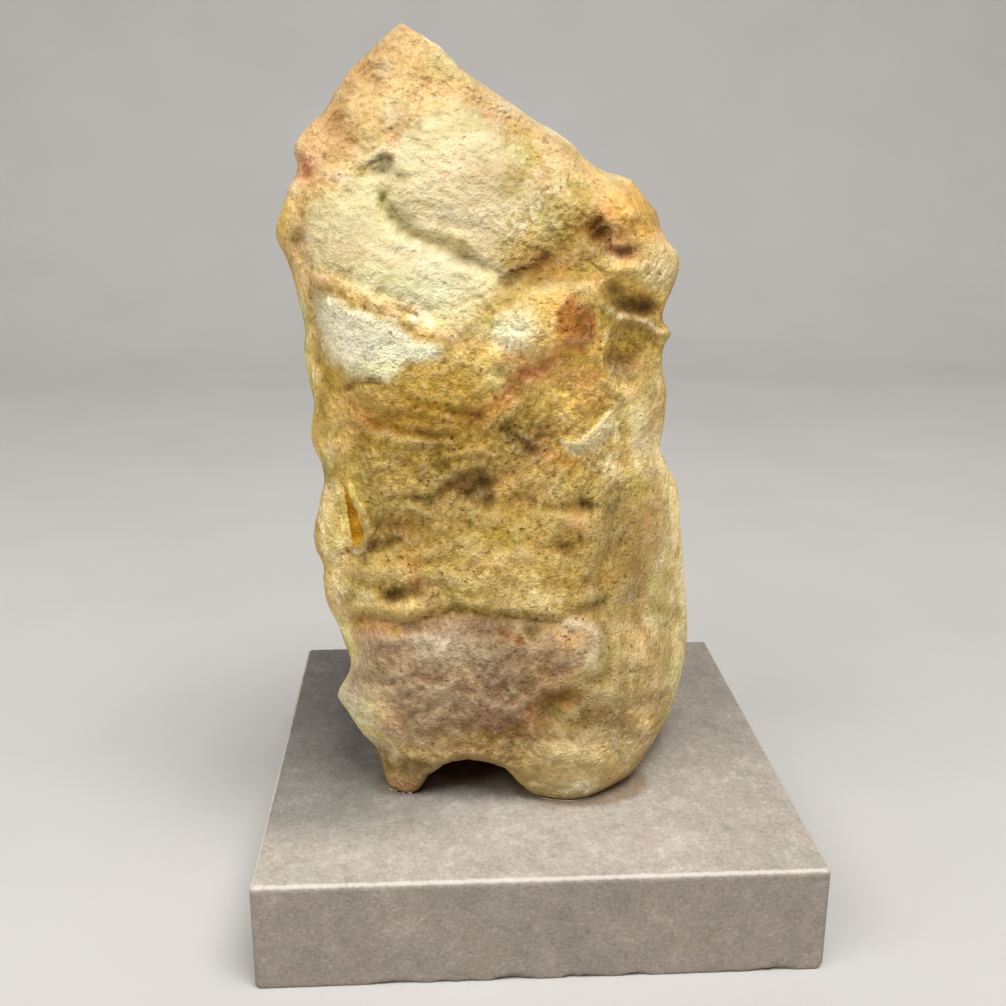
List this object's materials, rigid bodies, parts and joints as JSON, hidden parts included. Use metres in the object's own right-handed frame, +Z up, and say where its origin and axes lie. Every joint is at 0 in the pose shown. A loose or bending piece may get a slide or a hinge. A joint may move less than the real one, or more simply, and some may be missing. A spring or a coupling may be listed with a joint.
{
  "type": "petrified wood on stand",
  "caption": "Upright rough piece of petrified wood, yellow-ochre and cream with a mauve foot, glued by its feet to a square honed stone block.",
  "frame": {"origin": "centre of the block's underside", "axes": "+Z up, +X to the right and -Y towards the viewer of the specimen's front, all square to the block"},
  "size_m": [0.098, 0.098, 0.1579],
  "materials": {
    "base_stone": "honed, fine speckle, light arris",
    "petrified_wood": "rough natural fracture, matt, sandy",
    "clear_glue": "clear, glossy"
  },
  "bodies": {
    "root": {"stone_base": "base_stone", "petrified_wood": "petrified_wood", "glue_left_foot": "clear_glue", "glue_right_foot": "clear_glue", "glue_back_foot": "clear_glue"}
  },
  "joints": []
}
